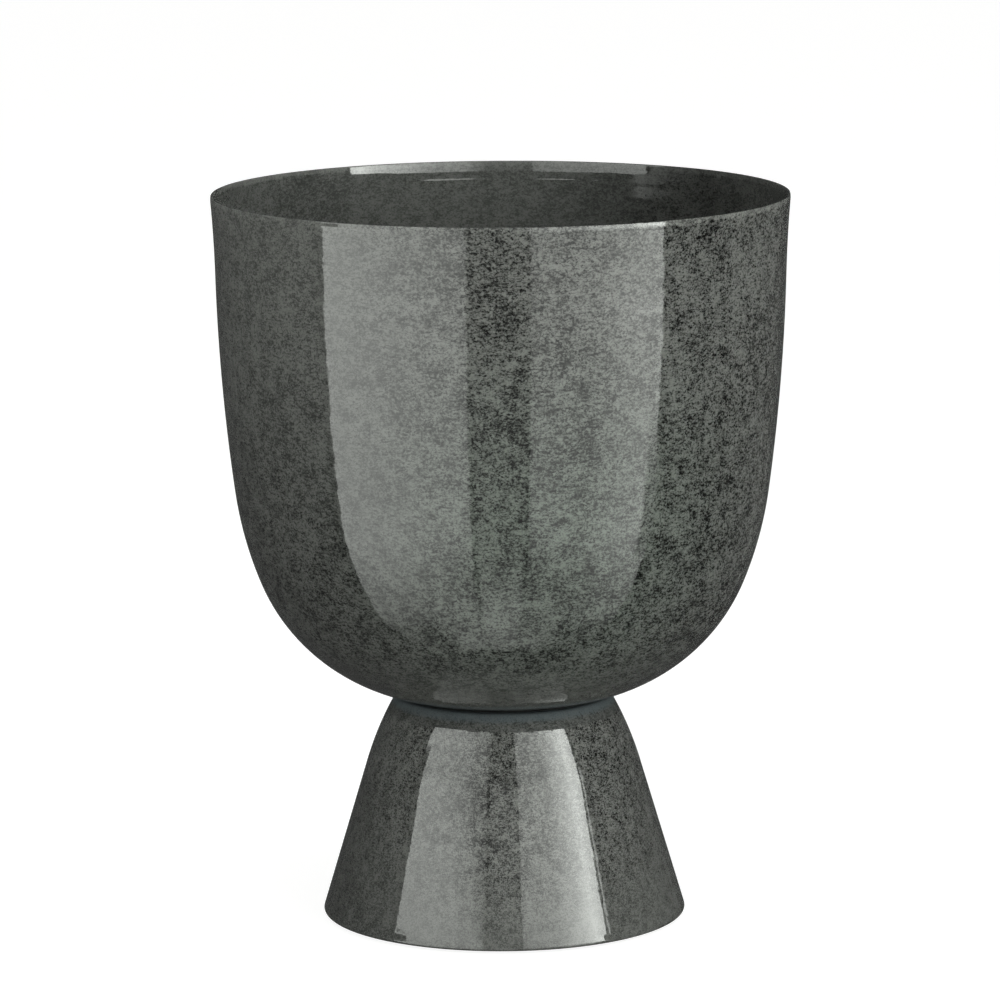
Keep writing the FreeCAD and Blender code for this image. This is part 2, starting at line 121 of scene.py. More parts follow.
# Vitreous enamel, sprayed on sheet steel and fired: a smooth grey green ground under fine dark speckle and
# hair veins that gather in flat streaks and clouds, plainer inside, underneath and to one side, with a clear
# glassy rippled skin, matt on the foot's top under the bowl. Painted into the colour: the rim's pale
# unspeckled edge is partly a painted highlight, painted shade darkens the inside and the foot's top under
# the bowl, and painted light and shade make the outside paler and darker by side and height. A blue grey
# band runs round the foot's crown.
enamel = {
    # the third colour is the matt skin's ground, darker: painted shade under the bowl
    "light": "#828380", "greenLight": "#7d857d", "thinShadedGround": "#717270", "dark": "#0d0e0d",
    "crownBlueGrey": "#626a6e",
    # each layer of speckle: size in millimetres, flattening, detail and weight
    "layers": ((1.1, 1.3, 2.0, 0.45), (3.2, 2.2, 3.0, 0.40), (9.0, 1.15, 2.0, 0.26), (60.0, 1.15, 2.0, 0.10)),
    "layerRoughness": 0.62, "footFiner": (1.95, 1.95, 1.55),
    "veinMm": 2.6, "veinFlat": 1.4, "veinWidth": 0.045, "veinWeight": 0.12, "veinDetail": 1.5,
    "veinRoughness": 0.55,
    "tones": ((0.495, 0.0), (0.547, 0.27), (0.60, 0.63), (0.685, 1.0)), "restTone": 0.62,
    # how strong the speckle is, and where, in metres
    "plainX": -0.055, "speckledX": 0.040, "plainShare": 0.66, "cloudDrift": 0.10,
    "insideReach": 0.12, "insideShare": (0.45, 0.24), "insideTurn": 0.01,
    # painted shade inside: where it grows across the width, least and most; then where it lessens and by how
    # much
    "insidePaintedShade": (0.0, 0.13, 0.10, 0.49), "insideShadeEase": (0.105, 0.140, 0.24),
    "underLow": 0.122, "underHigh": 0.160, "underShare": 0.50,
    "footPlace": (0.010, -0.055, 0.085), "footReach": (0.035, 0.100),
    "footShare": (1.25, 0.55), "thinShare": (0.75, 0.6),
    # painted light and shade: left paler towards the rim and darker below, right darker then paler at its
    # edge
    "leftLightX": (-0.045, -0.085), "leftLightHeight": (0.185, 0.36), "leftLightTone": (-0.13, 0.21),
    "rightLightTones": ((0.080, 0.092, -0.06), (0.100, 0.132, 0.13)),
    "greenPlace": (0.02, -0.11, 0.21), "greenReach": 0.13,
    # the rim's pale unspeckled edge, partly a painted highlight: its heights, tone and shares by side
    "bareHighlightLow": 0.3605, "bareHighlightHigh": 0.3619, "bareHighlightTone": 0.35, "waverHeight": 0.003,
    "bareHighlightInside": (-0.06, 0.02, 1.0, 0.4), "bareHighlightOutside": (0.055, 0.092, 0.25, 1.0),
    # a blue grey band round the foot's crown, patchy with the speckle
    "crownBandLow": 0.1081, "crownBandHigh": 0.1111, "coatTop": 0.1118, "crownBandSpeck": (0.35, 0.60), "crownBandShare": 0.45,
    "gloss": 0.03, "matt": 0.55, "ior": 1.77, "glossSheen": 0.5, "mattSheen": 0.04,  # a bright lead glaze
    "rippleMm": 8.0, "rippleHeightMm": 0.055, "rippleDetail": 3.0, "rippleRoughness": 0.58,
}


def makeEnamel(name, glossy):
    material, tree = newMaterial(name)
    smooth, blend = {"interpolation_type": "SMOOTHSTEP"}, {"data_type": "RGBA"}
    add, subtract, multiply = {"operation": "ADD"}, {"operation": "SUBTRACT"}, {"operation": "MULTIPLY"}
    scaleAdd, distance = {"operation": "MULTIPLY_ADD"}, {"operation": "DISTANCE"}
    place = addNode(tree, "TexCoord")["Object"]
    axes = addNode(tree, "SeparateXYZ", inputs={"Vector": place})
    across, height = axes["X"], axes["Z"]
    onFoot = addNode(tree, "Math", {"operation": "LESS_THAN"}, {0: height, 1: enamel["coatTop"]})["Value"]
    fineness = addNode(tree, "Mix", {"data_type": "VECTOR"},
                       {"Factor": onFoot, "A": (1, 1, 1), "B": enamel["footFiner"]})["Result"]
    finer = addNode(tree, "VectorMath", multiply, {0: place, 1: fineness})["Vector"]

    # the pattern: specks, flat streaks, clusters and clouds added together, less the veins
    pattern, grains = 0.0, []
    for size, flatness, detail, weight in enamel["layers"]:
        flat = addNode(tree, "Mapping", inputs={"Vector": finer, "Scale": (1, 1, flatness)})["Vector"]
        grain = addNode(tree, "TexNoise", inputs={"Vector": flat, "Scale": 1 / (size * mm), "Detail": detail,
                                                  "Roughness": enamel["layerRoughness"]})["Fac"]
        pattern = addNode(tree, "Math", scaleAdd, {0: grain, 1: weight, 2: pattern})["Value"]
        grains.append(grain)
    speck, streak, cloud = grains[0], grains[1], grains[3]
    flat = addNode(tree, "Mapping", inputs={"Vector": finer, "Scale": (1, 1, enamel["veinFlat"])})["Vector"]
    vein = addNode(tree, "TexNoise", inputs={"Vector": flat, "Scale": 1 / (enamel["veinMm"] * mm),
                                             "Detail": enamel["veinDetail"],
                                             "Roughness": enamel["veinRoughness"]})["Fac"]
    vein = addNode(tree, "Math", {"operation": "PINGPONG"}, {0: vein, 1: 0.5})["Value"]
    vein = addNode(tree, "MapRange", smooth, {"Value": vein, "From Min": 0.5,
                                              "From Max": 0.5 - enamel["veinWidth"],
                                              "To Min": -enamel["veinWeight"], "To Max": 0.0})["Result"]
    pattern = addNode(tree, "Math", add, {0: pattern, 1: vein})["Value"]
    speckle = addNode(tree, "ValToRGB", inputs={"Fac": pattern}, stops=enamel["tones"])["Color"]

    # where the speckle is weaker: one side and the underside of the bowl, the ends of the foot, the inside
    drift = addNode(tree, "Math", scaleAdd, {0: cloud, 1: enamel["cloudDrift"], 2: across})["Value"]
    sideShare = addNode(tree, "MapRange", smooth, {"Value": drift, "From Min": enamel["plainX"],
                                                   "From Max": enamel["speckledX"],
                                                   "To Min": enamel["plainShare"]})["Result"]
    underShare = addNode(tree, "MapRange", smooth, {"Value": height, "From Min": enamel["underLow"],
                                                    "From Max": enamel["underHigh"],
                                                    "To Min": enamel["underShare"]})["Result"]
    bowlShare = addNode(tree, "Math", multiply, {0: sideShare, 1: underShare})["Value"]
    far = addNode(tree, "VectorMath", distance, {0: place, 1: enamel["footPlace"]})["Value"]
    near, reach = enamel["footReach"]
    most, least = enamel["footShare"] if glossy else enamel["thinShare"]
    footShare = addNode(tree, "MapRange", smooth, {"Value": far, "From Min": near, "From Max": reach,
                                                   "To Min": most, "To Max": least})["Result"]
    outerShare = addNode(tree, "Mix", inputs={"Factor": onFoot, "A": bowlShare, "B": footShare})["Result"]
    reach, (most, least) = enamel["insideReach"], enamel["insideShare"]
    innerShare = addNode(tree, "MapRange", inputs={"Value": across, "From Min": -reach, "From Max": reach,
                                                   "To Min": most, "To Max": least})["Result"]
    facing = addNode(tree, "NewGeometry")["Normal"]
    level = addNode(tree, "VectorMath", multiply, {0: place, 1: (1, 1, 0)})["Vector"]
    outward = addNode(tree, "VectorMath", {"operation": "DOT_PRODUCT"}, {0: level, 1: facing})["Value"]
    outside = addNode(tree, "MapRange", smooth, {"Value": outward, "From Min": -enamel["insideTurn"],
                                                 "From Max": enamel["insideTurn"]})["Result"]
    share = addNode(tree, "Mix", inputs={"Factor": outside, "A": innerShare, "B": outerShare})["Result"]
    tone = addNode(tree, "Math", subtract, {0: speckle, 1: enamel["restTone"]})["Value"]
    tone = addNode(tree, "Math", scaleAdd, {0: tone, 1: share, 2: enamel["restTone"]})["Value"]

    # painted shade: the inside is darker, most so short of its right end
    start, full, least, most = enamel["insidePaintedShade"]
    shade = addNode(tree, "MapRange", smooth, {"Value": across, "From Min": start, "From Max": full,
                                               "To Min": least, "To Max": most})["Result"]
    start, full, change = enamel["insideShadeEase"]
    shadeEase = addNode(tree, "MapRange", smooth, {"Value": across, "From Min": start, "From Max": full,
                                              "To Max": change})["Result"]
    shade = addNode(tree, "Math", subtract, {0: shade, 1: shadeEase})["Value"]
    inside = addNode(tree, "Math", subtract, {0: 1.0, 1: outside})["Value"]
    shade = addNode(tree, "Math", multiply, {0: shade, 1: inside})["Value"]

    # the rim's edge is pale and unspeckled, partly a painted highlight, inside most left, outside most right
    waver = addNode(tree, "Math", scaleAdd, {0: streak, 1: enamel["waverHeight"], 2: height})["Value"]
    bareAndHighlight = addNode(tree, "MapRange", smooth, {"Value": waver, "From Min": enamel["bareHighlightLow"],
                                              "From Max": enamel["bareHighlightHigh"],
                                              "To Max": enamel["bareHighlightTone"]})["Result"]
    bareHighlightShares = []
    for start, full, first, last in (enamel["bareHighlightInside"], enamel["bareHighlightOutside"]):
        bareHighlightShares.append(addNode(tree, "MapRange", smooth, {
            "Value": across, "From Min": start, "From Max": full, "To Min": first, "To Max": last})["Result"])
    bareHighlightShare = addNode(tree, "Mix", inputs={"Factor": outside, "A": bareHighlightShares[0],
                                             "B": bareHighlightShares[1]})["Result"]
    bareAndHighlight = addNode(tree, "Math", multiply, {0: bareAndHighlight, 1: bareHighlightShare})["Value"]

    # painted light and shade: paler and darker zones outside
    start, full = enamel["leftLightX"]
    leftward = addNode(tree, "MapRange", smooth, {"Value": across, "From Min": start,
                                                  "From Max": full})["Result"]
    (low, high), (least, most) = enamel["leftLightHeight"], enamel["leftLightTone"]
    leftLightShade = addNode(tree, "MapRange", inputs={"Value": height, "From Min": low, "From Max": high,
                                             "To Min": least, "To Max": most})["Result"]
    paintedLightShade = addNode(tree, "Math", multiply, {0: leftLightShade, 1: leftward})["Value"]
    for start, full, change in enamel["rightLightTones"]:
        rightLightShade = addNode(tree, "MapRange", smooth, {"Value": across, "From Min": start, "From Max": full,
                                                       "To Max": change})["Result"]
        paintedLightShade = addNode(tree, "Math", add, {0: paintedLightShade, 1: rightLightShade})["Value"]
    tone = addNode(tree, "Math", subtract, {0: tone, 1: shade})["Value"]
    tone = addNode(tree, "Math", scaleAdd, {0: paintedLightShade, 1: outside, 2: tone})["Value"]
    tone = addNode(tree, "Math", add, {0: tone, 1: bareAndHighlight})["Value"]

    # the colours: a greener patch in front, and a blue grey band round the foot's crown
    far = addNode(tree, "VectorMath", distance, {0: place, 1: enamel["greenPlace"]})["Value"]
    green = addNode(tree, "MapRange", smooth, {"Value": far, "From Min": enamel["greenReach"],
                                               "From Max": 0.0})["Result"]
    # the matt skin's darker ground is painted shade under the bowl
    pale = linear(enamel["light"] if glossy else enamel["thinShadedGround"])
    ground = addNode(tree, "Mix", blend, {"Factor": green, "A": pale,
                                          "B": linear(enamel["greenLight"])})["Result"]
    cover = addNode(tree, "Mix", {"data_type": "RGBA", "clamp_factor": False},
                    {"Factor": tone, "A": linear(enamel["dark"]), "B": ground})["Result"]
    crownBand = addNode(tree, "MapRange", smooth, {"Value": waver, "From Min": enamel["crownBandLow"],
                                              "From Max": enamel["crownBandHigh"]})["Result"]
    crownBand = addNode(tree, "Math", multiply, {0: crownBand, 1: onFoot})["Value"]
    low, high = enamel["crownBandSpeck"]
    crownBandPatch = addNode(tree, "MapRange", smooth, {"Value": speck, "From Min": low, "From Max": high,
                                              "To Min": enamel["crownBandShare"]})["Result"]
    crownBand = addNode(tree, "Math", multiply, {0: crownBand, 1: crownBandPatch})["Value"]
    colour = addNode(tree, "Mix", blend, {"Factor": crownBand, "A": cover,
                                          "B": linear(enamel["crownBlueGrey"])})["Result"]

    # the skin: a slow ripple under a clear gloss
    ripple = addNode(tree, "TexNoise", inputs={"Vector": place, "Scale": 1 / (enamel["rippleMm"] * mm),
                                               "Detail": enamel["rippleDetail"],
                                               "Roughness": enamel["rippleRoughness"]})["Fac"]
    skin = addNode(tree, "Bump", inputs={"Height": ripple, "Strength": 1.0,
                                         "Distance": enamel["rippleHeightMm"] * mm})["Normal"]
    shader = addNode(tree, "BsdfPrincipled", inputs={
        "Base Color": colour, "Normal": skin, "Roughness": enamel["gloss"] if glossy else enamel["matt"],
        "IOR": enamel["ior"], "Specular IOR Level": enamel["glossSheen"] if glossy else enamel["mattSheen"]})
    addNode(tree, "OutputMaterial", inputs={"Surface": shader["BSDF"]})
    return material


# Synthetic rubber, moulded: dull near black with a faint bloom
rubber = {"black": "#1c1c1d", "bloom": "#2b2b2c", "mottleMm": 3.0, "mottleDetail": 3.0, "grainMm": 0.35,
          "grainDetail": 1.0, "grainStrength": 0.5, "grainHeightMm": 0.05, "roughness": 0.75}


def makeRubber():
    material, tree = newMaterial("syntheticRubberMoulded")
    place = addNode(tree, "TexCoord")["Object"]
    mottle = addNode(tree, "TexNoise", inputs={"Vector": place, "Scale": 1 / (rubber["mottleMm"] * mm),
                                               "Detail": rubber["mottleDetail"]})["Fac"]
    colour = addNode(tree, "Mix", {"data_type": "RGBA"}, {"Factor": mottle, "A": linear(rubber["black"]),
                                                          "B": linear(rubber["bloom"])})["Result"]
    grain = addNode(tree, "TexNoise", inputs={"Vector": place, "Scale": 1 / (rubber["grainMm"] * mm),
                                              "Detail": rubber["grainDetail"]})["Fac"]
    skin = addNode(tree, "Bump", inputs={"Height": grain, "Strength": rubber["grainStrength"],
                                         "Distance": rubber["grainHeightMm"] * mm})["Normal"]
    shader = addNode(tree, "BsdfPrincipled", inputs={"Base Color": colour, "Normal": skin,
                                                     "Roughness": rubber["roughness"]})
    addNode(tree, "OutputMaterial", inputs={"Surface": shader["BSDF"]})
    return material


# Zinc plate on steel, bright passivated: pale metal with a soft cloudy crystal
zinc = {"bright": "#c9ccd0", "cloudy": "#a3a7ab", "cloudMm": 4.0, "cloudDetail": 4.0, "cloudRoughness": 0.6,
        "sheen": (0.28, 0.46)}


def makeZinc():
    material, tree = newMaterial("zincPlatePassivated")
    place = addNode(tree, "TexCoord")["Object"]
    cloud = addNode(tree, "TexNoise", inputs={"Vector": place, "Scale": 1 / (zinc["cloudMm"] * mm),
                                              "Detail": zinc["cloudDetail"],
                                              "Roughness": zinc["cloudRoughness"]})["Fac"]
    colour = addNode(tree, "Mix", {"data_type": "RGBA"}, {"Factor": cloud, "A": linear(zinc["cloudy"]),
                                                          "B": linear(zinc["bright"])})["Result"]
    least, most = zinc["sheen"]
    sheen = addNode(tree, "MapRange", inputs={"Value": cloud, "To Min": least, "To Max": most})["Result"]
    shader = addNode(tree, "BsdfPrincipled", inputs={"Base Color": colour, "Roughness": sheen,
                                                     "Metallic": 1.0})
    addNode(tree, "OutputMaterial", inputs={"Surface": shader["BSDF"]})
    return material


# Spring steel, hardened and oiled: dark blue grey metal with an uneven sheen
springSteel = {"blue": "#4a4d52", "brown": "#3b3937", "patchMm": 2.5, "patchDetail": 3.0, "sheen": (0.3, 0.5)}


def makeSpringSteel():
    material, tree = newMaterial("springSteelOiled")
    place = addNode(tree, "TexCoord")["Object"]
    patch = addNode(tree, "TexNoise", inputs={"Vector": place, "Scale": 1 / (springSteel["patchMm"] * mm),
                                              "Detail": springSteel["patchDetail"]})["Fac"]
    colour = addNode(tree, "Mix", {"data_type": "RGBA"}, {"Factor": patch, "A": linear(springSteel["blue"]),
                                                          "B": linear(springSteel["brown"])})["Result"]
    least, most = springSteel["sheen"]
    sheen = addNode(tree, "MapRange", inputs={"Value": patch, "To Min": least, "To Max": most})["Result"]
    shader = addNode(tree, "BsdfPrincipled", inputs={"Base Color": colour, "Roughness": sheen,
                                                     "Metallic": 1.0})
    addNode(tree, "OutputMaterial", inputs={"Surface": shader["BSDF"]})
    return material


enamelSkin = makeEnamel("vitreousEnamelSprayed", True)
# the foot's top under the bowl: matt, its darker ground painted shade
thinShadedSkin = makeEnamel("vitreousEnamelThinCoatShaded", False)
rubberSkin = makeRubber()
zincSkin = makeZinc()
springSkin = makeSpringSteel()
print("materials made")

# Bowl: spun sheet, flat base, two belly curves, tall side and a flared lip, in millimetres
bowl = {
    "baseLevel": 112.0, "rimRadius": 142.5, "depth": 249.4, "wall": 1.2,
    "curveRadii": (30.0, 95.0, 184.7, 966.0), "curveEnds": (0.54, 58.0, 103.1, 210.4),
    "curveSteps": (4, 24, 10, 22), "flareRadius": 606.0, "flareSteps": 12, "lipDepth": 11.0, "lipSteps": 48,
    "rimSteps": 10, "around": 352, "baseRings": 6,
    # the outer edge thins over its last millimetres; inside, the sheet swells towards a wavy band under the
    # rim, and to either side of that band, past these shares of the rim's half width, right up to the rim
    "edgeHeight": 2.4, "edgeThin": 0.25, "swellFrom": 11.0, "swellTilt": 1.2,
    "bandHeight": 4.7, "bandWave": 0.6, "bandEnds": (-0.56, 0.54), "endRun": 0.004,
    "waves": ((9, 0.3, 1.0), (31, 2.7, 0.5)),  # waves to the radius, seed and size of each
    "taperFrom": -0.36, "taperRun": 0.10, "taperDrop": 1.0,  # the band is lower towards its left end
    # faint ridge inside, in runs, each from and to a share of the rim's half width, then half its breadth
    "ridgeBelow": 8.95, "ridgeTall": 0.08, "ridgeFade": 0.04,
    "ridgeRuns": ((-0.29, -0.045, 0.75), (0.11, 0.29, 0.48), (0.32, 0.375, 0.55)),
}


def bowlSlopes():  # slope of the wall from level at each joint between curves, then at the rim
    slopes, low = [0.0], 0.0
    for radius, high in zip(bowl["curveRadii"], bowl["curveEnds"]):
        slopes.append(math.acos(math.cos(slopes[-1]) - (high - low) / radius))
        low = high
    lipHeight = bowl["depth"] - bowl["curveEnds"][-1]
    return slopes, math.acos(math.cos(slopes[-1]) + lipHeight / bowl["flareRadius"])


def bowlWall(inset):  # one face of the sheet, from the centre of the base to the rim
    slopes, rimSlope = bowlSlopes()
    flare, quarter = bowl["flareRadius"], math.pi / 2
    reaches = [radius * (math.sin(b) - math.sin(a))
               for radius, a, b in zip(bowl["curveRadii"], slopes, slopes[1:])]
    flatRadius = bowl["rimRadius"] - sum(reaches) - flare * (math.sin(slopes[-1]) - math.sin(rimSlope))
    level = bowl["baseLevel"]
    points = [(0, level + inset)]
    points += straightRun(points[0], (flatRadius, level + inset), bowl["baseRings"])
    joint = (flatRadius, level)
    for radius, a, b, steps in zip(bowl["curveRadii"], slopes, slopes[1:], bowl["curveSteps"]):
        centre = (joint[0] - radius * math.sin(a), joint[1] + radius * math.cos(a))
        points += arcRun(centre, radius - inset, a - quarter, b - quarter, steps)
        joint = (centre[0] + radius * math.sin(b), centre[1] - radius * math.cos(b))
    centre = (joint[0] + flare * math.sin(slopes[-1]), joint[1] - flare * math.cos(slopes[-1]))
    rimAngle = rimSlope + quarter
    lipAngle = rimAngle + bowl["lipDepth"] / flare  # finer rings from here up
    points += arcRun(centre, flare + inset, slopes[-1] + quarter, lipAngle, bowl["flareSteps"])
    points += arcRun(centre, flare + inset, lipAngle, rimAngle, bowl["lipSteps"])
    return points, centre, rimSlope


def lipInside(turn, below):  # how far the inner face moves in, for a direction and a depth below the rim
    wave = sum(size * noise.noise(Vector((turn.x * count, turn.y * count, seed)))
               for count, seed, size in bowl["waves"])
    beyond = max(bowl["bandEnds"][0] - turn.x, turn.x - bowl["bandEnds"][1]) / bowl["endRun"]
    taper = bowl["taperDrop"] * min(1.0, max(0.0, (bowl["taperFrom"] - turn.x) / bowl["taperRun"]))
    band = (bowl["bandHeight"] + bowl["bandWave"] * wave - taper) * (1 - min(1.0, max(0.0, beyond)))
    move = max(0.0, bowl["swellFrom"] - max(below, band)) * math.tan(math.radians(bowl["swellTilt"]))
    for start, end, half in bowl["ridgeRuns"]:
        far = (below - bowl["ridgeBelow"]) / half
        inRun = min(1.0, max(0.0, min(turn.x - start, end - turn.x) / bowl["ridgeFade"]))
        move += bowl["ridgeTall"] * half * max(0.0, 1 - far * far) ** 2 * inRun
    return move


def makeBowl():
    outer, flareCentre, rimSlope = bowlWall(0)
    inner, _, _ = bowlWall(bowl["wall"])
    half = bowl["wall"] / 2
    middle = tuple((a + b) / 2 for a, b in zip(outer[-1], inner[-1]))
    rim = arcRun(middle, half, rimSlope - math.pi / 2, rimSlope + math.pi / 2, bowl["rimSteps"])
    bm = spinProfile([(r * mm, z * mm) for r, z in outer + rim + inner[-2::-1]], bowl["around"], False)

    # the rim is thinned, and the swell and ridge raised, by moving each ring's vertices in
    rimTop = (bowl["baseLevel"] + bowl["depth"]) * mm
    for vert in bm.verts:
        below = (rimTop - vert.co.z) / mm
        if below > bowl["lipDepth"]:
            continue
        radius = math.hypot(vert.co.x, vert.co.y) / mm
        rise = min(vert.co.z / mm, rimTop / mm) - flareCentre[1]
        wallMiddle = flareCentre[0] - math.sqrt((bowl["flareRadius"] + half) ** 2 - rise ** 2)
        turn = vert.co.to_2d().normalized()
        if radius > wallMiddle:
            shift = -bowl["edgeThin"] * max(0.0, 1 - max(below, 0.0) / bowl["edgeHeight"]) ** 2
        else:
            shift = -lipInside(turn, max(below, 0.0))
        if below < 0:
            shift *= abs(radius - wallMiddle) / half
        vert.co.x *= (radius + shift) / radius
        vert.co.y *= (radius + shift) / radius
    newPiece(bm, "bowlShell", enamelSkin, "bowl")


makeBowl()

# Foot: spun cone with a turned-in edge below, a rounded shoulder and an open flat crown, in millimetres
foot = {
    "flangeLevel": 1.6, "height": 110.1, "baseRadius": 90.3, "wall": 1.2, "hemRadius": 1.5,
    "flangeWidth": 16.0, "crownRadius": 52.0, "crownLand": 14.0, "cornerRadius": 2.4,
    "shoulderStart": 75.6, "shoulderRadius": 164.0, "edgeRound": 0.5,
    "around": 320, "hemSteps": 12, "flankSteps": 24, "shoulderSteps": 56, "cornerSteps": 10, "landSteps": 6,
    "edgeSteps": 8,
    "thinShadedLevel": 103.6, "thinShadedWave": 0.8, "thinShadedWaves": (4, 15),  # the foot is matt above this level, and darker there with painted shade under the bowl
}


def footCurves(lean):  # centres of the shoulder and the crown's corner for a flank at this lean
    hem, shoulder, corner = foot["hemRadius"], foot["shoulderRadius"], foot["cornerRadius"]
    low, top = foot["flangeLevel"], foot["flangeLevel"] + foot["height"]
    hemCentre = (foot["baseRadius"] - hem, low + hem)
    flankLow = (hemCentre[0] + hem * math.cos(lean), hemCentre[1] + hem * math.sin(lean))
    climb = low + foot["shoulderStart"] - flankLow[1]
    shoulderCentre = (flankLow[0] - climb * math.tan(lean) - shoulder * math.cos(lean),
                      flankLow[1] + climb - shoulder * math.sin(lean))
    turn = math.asin((top - corner - shoulderCentre[1]) / (shoulder - corner))
    cornerCentre = (shoulderCentre[0] + (shoulder - corner) * math.cos(turn), top - corner)
    return hemCentre, shoulderCentre, cornerCentre, turn


def footLean():  # the lean that brings the crown to its radius, by halving
    least, most = 0.0, math.pi / 4
    while most - least > 1e-9:
        lean = (least + most) / 2
        if footCurves(lean)[2][0] > foot["crownRadius"]:
            least = lean
        else:
            most = lean
    return lean


def footWall(inset):  # one face of the sheet, from the flange's edge to the crown's opening
    lean = footLean()
    hemCentre, shoulderCentre, cornerCentre, turn = footCurves(lean)
    quarter = math.pi / 2
    low, top = foot["flangeLevel"] + inset, foot["flangeLevel"] + foot["height"] - inset
    edge = foot["baseRadius"] - foot["flangeWidth"] + foot["edgeRound"]
    opening = foot["crownRadius"] - foot["crownLand"] + foot["edgeRound"]
    points = [(edge, low)] + straightRun((edge, low), (hemCentre[0], low), foot["landSteps"])
    points += arcRun(hemCentre, foot["hemRadius"] - inset, -quarter, lean, foot["hemSteps"])
    flankTop = tuple(c + (foot["shoulderRadius"] - inset) * f(lean)
                     for c, f in zip(shoulderCentre, (math.cos, math.sin)))
    points += straightRun(points[-1], flankTop, foot["flankSteps"])
    points += arcRun(shoulderCentre, foot["shoulderRadius"] - inset, lean, turn, foot["shoulderSteps"])
    points += arcRun(cornerCentre, foot["cornerRadius"] - inset, turn, quarter, foot["cornerSteps"])
    points += straightRun(points[-1], (opening, top), foot["landSteps"])
    return points


def makeFoot():
    outer, inner = footWall(0), footWall(foot["wall"])
    half = foot["wall"] / 2
    top = foot["flangeLevel"] + foot["height"]
    start, end, steps = math.pi / 2, 3 * math.pi / 2, foot["edgeSteps"]
    crownEdge = arcRun((outer[-1][0], top - half), half, start, end, steps)
    flangeEdge = arcRun((outer[0][0], foot["flangeLevel"] + half), half, start, end, steps)
    points = outer + crownEdge + inner[-2:0:-1] + [inner[0]] + flangeEdge[:-1]
    bm = spinProfile([(r * mm, z * mm) for r, z in points], foot["around"], True)
    for face in bm.faces:
        spot = face.calc_center_median()
        wave = sum(noise.noise(Vector((spot.x, spot.y, seed)) / (length * mm))
                   for seed, length in enumerate(foot["thinShadedWaves"]))
        face.material_index = int(spot.z > (foot["thinShadedLevel"] + foot["thinShadedWave"] * wave) * mm)
    piece = newPiece(bm, "footShell", enamelSkin, "foot")
    piece.data.materials.append(thinShadedSkin)


makeFoot()

# Weld stud: a plain collar and chamfered ends with a rolled M8 thread between, in millimetres
stud = {"pitch": 1.25, "radius": 4.0, "threadDepth": 0.68, "crest": 0.16, "around": 48, "chamfer": 0.8,
        "collarRadius": 5.5, "collarHeight": 1.2, "collarRound": 0.25, "roundSteps": 3}


def makeStud():
    low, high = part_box("clamp_stud")
    turns = int((high.z - low.z) / (stud["pitch"] * mm)) + 2
    root, crest = (stud["radius"] - stud["threadDepth"]) * mm, stud["radius"] * mm
    pitch, flat = stud["pitch"] * mm, stud["crest"] * mm
    bm = bmesh.new()
    start = low.z - pitch
    heights = (0, flat / 2, pitch / 2 - flat / 2, pitch / 2 + flat / 2, pitch - flat / 2, pitch)
    radii = (root, root, crest, crest, root, root)
    verts = [bm.verts.new((r, 0, start + h)) for r, h in zip(radii, heights)]
    edges = [bm.edges.new(pair) for pair in zip(verts, verts[1:])]
    bmesh.ops.spin(bm, geom=verts + edges, cent=(0, 0, 0), axis=(0, 0, 1), use_merge=False,
                   dvec=(0, 0, pitch / stud["around"]), angle=2 * math.pi * turns,
                   steps=stud["around"] * turns)
    bmesh.ops.remove_doubles(bm, verts=bm.verts, dist=2 * weldGap)
    collarLow = high.z - stud["collarHeight"] * mm
    for height, clearOuter in ((low.z, False), (collarLow, True)):
        bmesh.ops.bisect_plane(bm, geom=bm.verts[:] + bm.edges[:] + bm.faces[:], dist=1e-7,
                               plane_co=(0, 0, height), plane_no=(0, 0, 1),
                               clear_outer=clearOuter, clear_inner=not clearOuter)
    # the chamfer pares the first threads down to the tip
    tip = (stud["radius"] - stud["chamfer"]) * mm
    for vert in bm.verts:
        reach = tip + (vert.co.z - low.z)
        radius = math.hypot(vert.co.x, vert.co.y)
        if radius > reach:
            vert.co.x *= reach / radius
            vert.co.y *= reach / radius
    bmesh.ops.holes_fill(bm, edges=[e for e in bm.edges if e.is_boundary], sides=0)
    collar = bmesh.ops.create_cone(bm, cap_ends=True, segments=stud["around"],
                                   radius1=stud["collarRadius"] * mm, radius2=stud["collarRadius"] * mm,
                                   depth=stud["collarHeight"] * mm,
                                   matrix=Matrix.Translation((0, 0, (collarLow + high.z) / 2)))
    # the collar's two round edges, where an end meets the side
    rims = {e for v in collar["verts"] for e in v.link_edges if len(e.link_faces) == 2
            and abs(e.link_faces[0].normal.z) + abs(e.link_faces[1].normal.z) > 0.5}
    bmesh.ops.bevel(bm, geom=list(rims), offset=stud["collarRound"] * mm, offset_type="OFFSET",
                    segments=stud["roundSteps"], profile=0.5, affect="EDGES", material=-1)
    bmesh.ops.recalc_face_normals(bm, faces=bm.faces)
    piece = newPiece(bm, "threadedStud", zincSkin, "clamp_stud")
    piece.data.shade_flat()


makeStud()

# The other fittings keep their CAD meshes and take a finish
finishes = {
    "neck_gasket": rubberSkin, "floor_pads": rubberSkin, "stud_plate": enamelSkin,
    "clamp_plate": zincSkin, "clamp_washer": zincSkin, "clamp_nut": zincSkin, "spring_washer": springSkin,
}
for nodeName, finish in finishes.items():
    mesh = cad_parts[nodeName].data
    mesh.materials.clear()
    mesh.materials.append(finish)
print("fittings finished")

# Studio: a pale floor, two tall soft panels either side of the camera, a dim card between them, soft light
# from above
studio = {
    "floorColour": "#9a9a98", "floorRadius": 40.0, "floorGlow": 0.89, "skyStrength": 0.78, "skyAngle": 60.0,
    "roomColour": "#ffffff", "roomStrength": 0.05, "panelDistance": 2.5, "panelLow": -9.0, "panelHigh": 2.5,
    "glowColour": "#fbfffa", "floorRoughness": 0.9, "floorSegments": 128,
}
lipHeights = ((0.1, 0.0), (0.14, 1.0), (0.56, 1.0), (0.6, 0.0))  # what the band inside the lip mirrors
